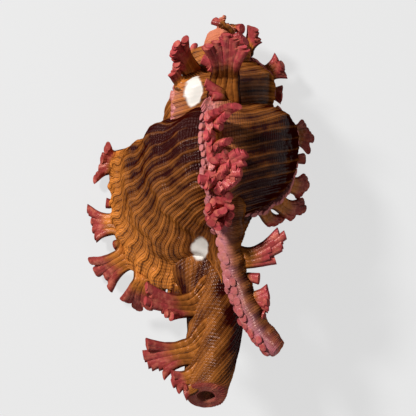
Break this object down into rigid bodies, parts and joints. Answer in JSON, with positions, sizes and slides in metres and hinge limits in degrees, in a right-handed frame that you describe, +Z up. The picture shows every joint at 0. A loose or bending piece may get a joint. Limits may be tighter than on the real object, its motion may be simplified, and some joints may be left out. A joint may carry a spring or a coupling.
{
  "type": "murex shell",
  "caption": "Rose-branch murex shell lying aperture down: knobbed tapering whorls, rows of branching fronds along thickened ridges, a hollow mouth and a recurved siphonal canal.",
  "frame": {"origin": "on the table, under the middle of the shell's bounding box", "axes": "+Y along the shell towards its apex, +Z up out of its back as it lies, +X to the right seen from above"},
  "size_m": [0.0632, 0.1052, 0.0495],
  "materials": {
    "shell": "satin"
  },
  "bodies": {
    "root": {"shell": "shell"}
  },
  "joints": []
}
